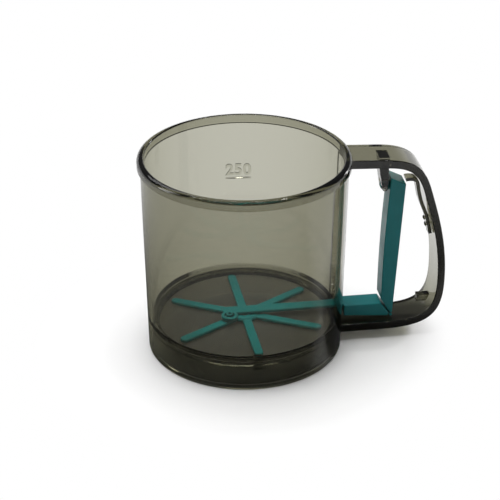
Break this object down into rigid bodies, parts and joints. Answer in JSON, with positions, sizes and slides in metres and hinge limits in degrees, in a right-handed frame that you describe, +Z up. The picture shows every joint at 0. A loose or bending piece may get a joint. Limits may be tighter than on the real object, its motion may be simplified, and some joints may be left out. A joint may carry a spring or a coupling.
{
  "type": "flour sifter",
  "caption": "Hand-held flour sifter: smoky clear cup with a fine sieve in its foot, a D-shaped handle, and a squeeze trigger whose push rod swings a star-shaped stirrer over the mesh.",
  "frame": {"origin": "middle of the bounding box, on the table plane that the cup's foot stands on", "axes": "+X along the handle, away from the cup; +Z up along the cup's axis; +Y to the side, by the right-hand rule"},
  "size_m": [0.1538, 0.105, 0.1035],
  "materials": {
    "smoky_plastic": "smoky transparent, polished",
    "teal_plastic": "satin moulded",
    "woven_steel": "fine woven wire",
    "plain_steel": "plain"
  },
  "bodies": {
    "cup": {"cup_body": "smoky_plastic", "handle_frame": "smoky_plastic", "pivot_bracket": "smoky_plastic", "trigger_pivot_pin": "plain_steel", "return_spring": "smoky_plastic", "spring_peg_lower": "smoky_plastic", "spring_peg_upper": "smoky_plastic", "sieve_base_ring": "smoky_plastic", "sieve_mesh": "woven_steel", "sieve_clamp_ring": "smoky_plastic", "pivot_stud": "plain_steel", "mesh_washer_upper": "plain_steel", "mesh_washer_lower": "plain_steel"},
    "trigger": {"trigger_lever": "teal_plastic"},
    "hinge": {"hinge_strip": "teal_plastic"},
    "rod": {"push_rod": "teal_plastic"},
    "stirrer": {"stirrer_star": "teal_plastic"}
  },
  "joints": [
    {"name": "trigger_squeeze", "type": "hinge", "parent": "cup", "child": "trigger", "pos_m": [0.04515, 0, 0.0827], "axis": [0, -1, 0], "range_deg": [0, 6], "stiffness_Nm_per_rad": 1, "springref_deg": -5.73, "deforming": ["return_spring"]},
    {"name": "rod_fold", "type": "hinge", "parent": "trigger", "child": "hinge", "pos_m": [0.05065, 0, 0.01095], "axis": [0, -1, 0], "range_deg": [-5.5, 0]},
    {"name": "rod_sway", "type": "hinge", "parent": "hinge", "child": "rod", "pos_m": [0.05065, 0, 0.01095], "axis": [0, 0, 1], "range_deg": [0, 3.8]},
    {"name": "stirrer_turn", "type": "hinge", "parent": "cup", "child": "stirrer", "pos_m": [-0.02445, 0, 0.0136], "axis": [0, 0, 1], "range_deg": [0, 55.5]}
  ],
  "couplings": [
    {"joint": "rod_fold", "follows": "trigger_squeeze", "ratio": -0.8965},
    {"joint": "rod_sway", "follows": "trigger_squeeze", "ratio": 0.6209},
    {"joint": "stirrer_turn", "follows": "trigger_squeeze", "ratio": 9.2048}
  ]
}
